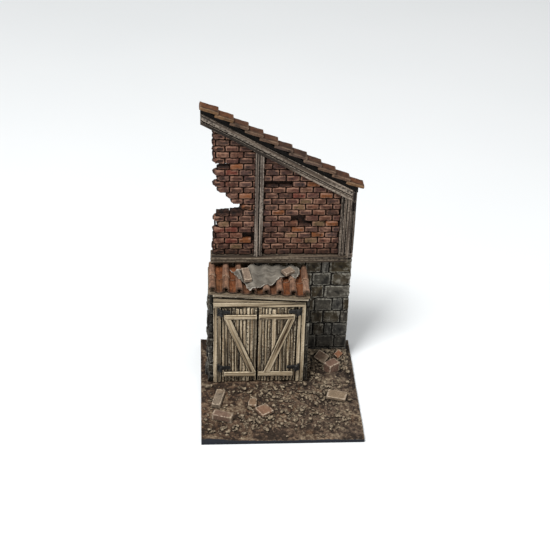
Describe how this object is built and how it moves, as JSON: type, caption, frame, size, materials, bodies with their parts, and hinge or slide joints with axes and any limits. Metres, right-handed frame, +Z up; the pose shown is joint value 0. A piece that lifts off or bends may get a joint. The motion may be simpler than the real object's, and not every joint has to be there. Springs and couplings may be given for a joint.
{
  "type": "miniature terrain ruin",
  "caption": "Ruined half-timbered brick gable on a stone wall, with a tiled lean-to shed, hinged double doors, a tarpaulin and rubble on a square base.",
  "frame": {"origin": "centre of the base's underside", "axes": "+Z up, +Y from the shed doors towards the wall, +X to the right as seen from the doors"},
  "size_m": [0.075, 0.075, 0.1416],
  "materials": {
    "plinth": "matte",
    "soil": "matte",
    "stone": "matte",
    "brick": "matte",
    "roof_tile": "matte",
    "tarp": "matte",
    "hinge_iron": "matte",
    "old_timber": "matte",
    "door_timber": "matte"
  },
  "bodies": {
    "ruin": {"base_plate": "plinth", "brick_panel_left": "brick", "brick_panel_right": "brick", "corner_post": "old_timber", "cover_tiles": "roof_tile", "door_lintel": "door_timber", "door_post_left": "door_timber", "door_post_right": "door_timber", "eave_board": "door_timber", "ground_layer": "soil", "left_door_pintles": "hinge_iron", "loose_bricks": "brick", "middle_post": "old_timber", "pan_tiles": "roof_tile", "rafter_beam": "old_timber", "rear_corner_post": "old_timber", "rear_post_pad": "old_timber", "right_door_pintles": "hinge_iron", "roof_boards": "door_timber", "roof_decking": "old_timber", "roof_joists": "door_timber", "roof_ledger": "door_timber", "rubble_bank": "soil", "shed_wall_left": "stone", "shed_wall_right": "stone", "sill_beam": "old_timber", "stone_wall": "stone", "tarp_bricks": "brick", "tarpaulin": "tarp", "verge_tiles": "roof_tile", "wall_plate": "old_timber", "yard_stones": "stone"},
    "left_door": {"left_door_bottom_ledge": "door_timber", "left_door_brace": "door_timber", "left_door_planks": "door_timber", "left_door_straps": "hinge_iron", "left_door_top_ledge": "door_timber"},
    "right_door": {"right_door_bottom_ledge": "door_timber", "right_door_brace": "door_timber", "right_door_planks": "door_timber", "right_door_straps": "hinge_iron", "right_door_top_ledge": "door_timber"}
  },
  "joints": [
    {"name": "left_door_hinge", "type": "hinge", "parent": "ruin", "child": "left_door", "pos_m": [-0.0278, 0.0034, 0.024], "axis": [0, 0, -1], "range_deg": [0, 70]},
    {"name": "right_door_hinge", "type": "hinge", "parent": "ruin", "child": "right_door", "pos_m": [0.0081, 0.0034, 0.024], "axis": [0, 0, 1], "range_deg": [0, 95]}
  ]
}
